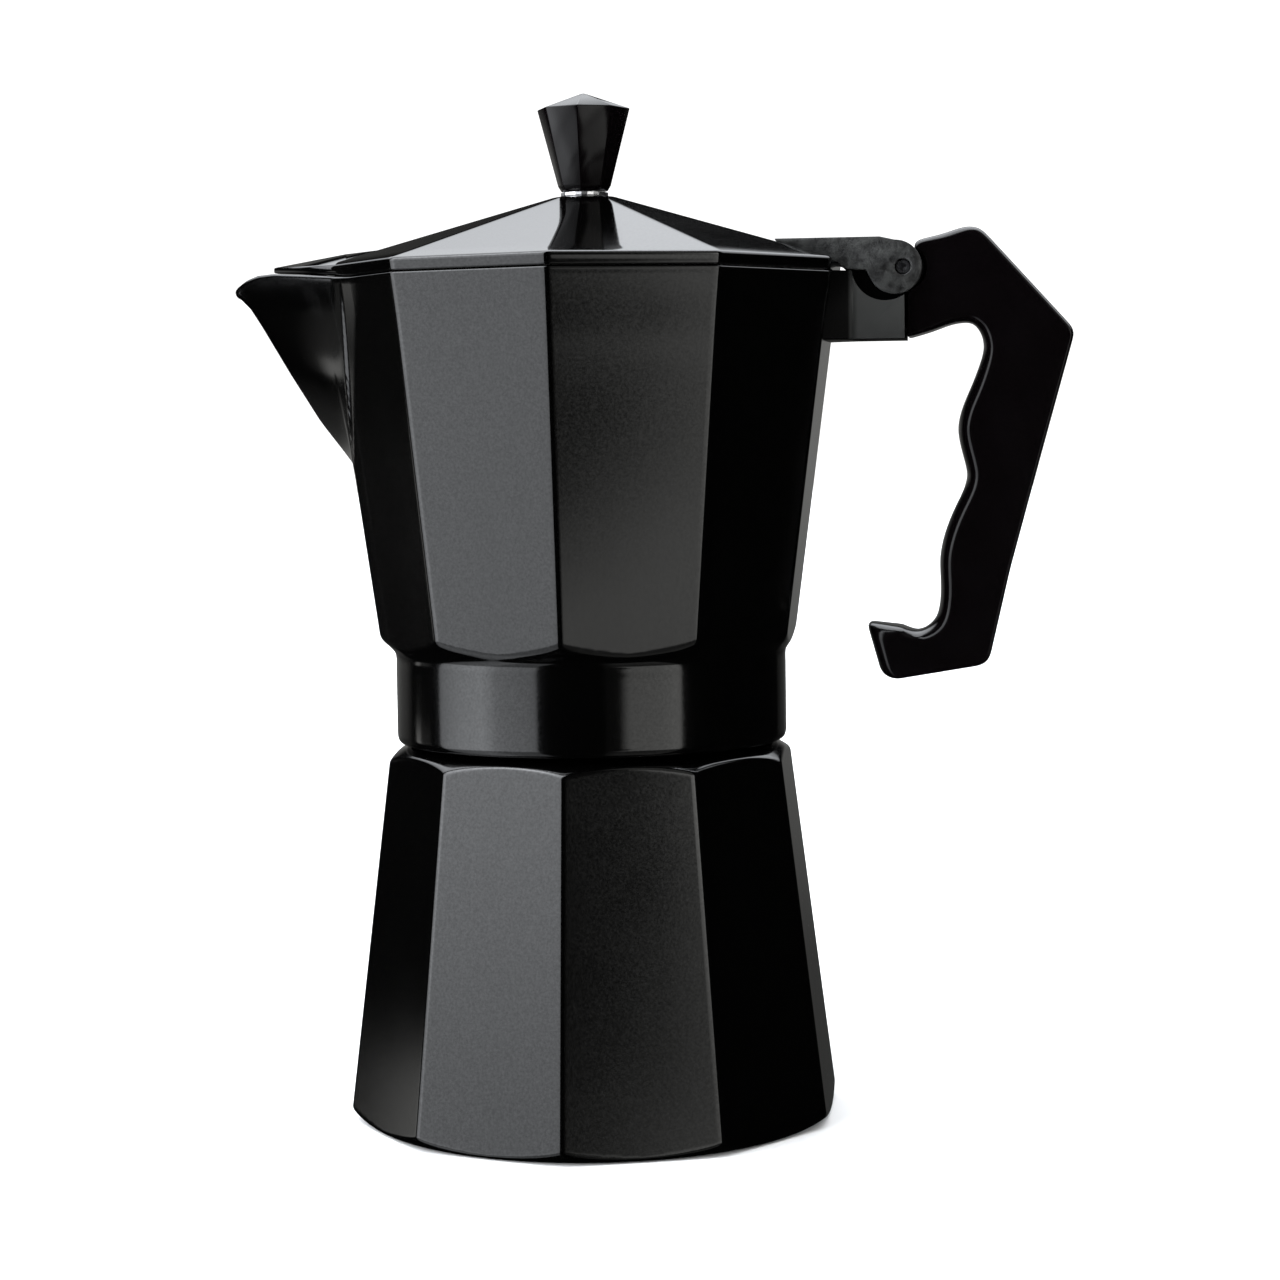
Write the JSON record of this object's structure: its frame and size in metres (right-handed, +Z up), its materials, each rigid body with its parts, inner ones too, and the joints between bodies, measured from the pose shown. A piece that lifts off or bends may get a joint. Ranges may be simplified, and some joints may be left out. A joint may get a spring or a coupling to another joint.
{
  "type": "moka pot",
  "caption": "Ten-sided stovetop coffee pot: boiler screwed into a flared collector with a V spout, hinged pyramid lid with knob, hooked side handle.",
  "frame": {"origin": "centre of the boiler's flat bottom", "axes": "+Z up through the knob, handle towards +X, spout towards -X"},
  "size_m": [0.1772, 0.1108, 0.215],
  "materials": {
    "enamel": "black enamel with a fine grain, satin gloss",
    "plastic": "glossy black",
    "aluminium": "bare, satin",
    "silicone": "matte off-white",
    "steel": "drawn steel",
    "brass": "turned brass"
  },
  "bodies": {
    "boiler_unit": {"boiler": "enamel", "valve_body": "brass", "valve_washer": "silicone", "valve_cap": "brass", "valve_spring": "steel"},
    "valve_stem": {"valve_plunger": "steel"},
    "funnel": {"funnel_basket": "aluminium", "funnel_tube": "aluminium", "funnel_sieve": "aluminium"},
    "seal": {"gasket": "silicone", "filter_plate": "aluminium"},
    "collector": {"upper_chamber": "enamel", "column": "aluminium", "hinge_pin": "steel", "handle": "plastic"},
    "lid_unit": {"lid": "enamel", "knob": "plastic", "knob_washer": "aluminium", "knob_lock_washer": "steel", "knob_screw": "steel"}
  },
  "joints": [
    {"name": "chamber_rise", "type": "slide", "parent": "boiler_unit", "child": "seal", "axis": [0, 0, 1], "range_m": [0, 0.01201]},
    {"name": "chamber_turn", "type": "hinge", "parent": "seal", "child": "collector", "pos_m": [0, 0, 0.0933], "axis": [0, 0, 1], "range_deg": [0, 1080]},
    {"name": "funnel_lift", "type": "slide", "parent": "boiler_unit", "child": "funnel", "axis": [0, 0, 1], "range_m": [0, 0.00601]},
    {"name": "lid_hinge", "type": "hinge", "parent": "collector", "child": "lid_unit", "pos_m": [0.0667, 0, 0.1771], "axis": [0, 1, 0], "range_deg": [0, 98]},
    {"name": "valve_press", "type": "slide", "parent": "boiler_unit", "child": "valve_stem", "axis": [0.3068, 0.9443, 0.1194], "range_m": [0, 0.0015], "stiffness_N_per_m": 1500, "springref_m": -0.003, "deforming": ["valve_spring"]}
  ],
  "couplings": [
    {"joint": "chamber_rise", "follows": "chamber_turn", "m_per_rad": 0.00063662},
    {"joint": "funnel_lift", "follows": "chamber_turn", "m_per_rad": 0.00031831}
  ]
}
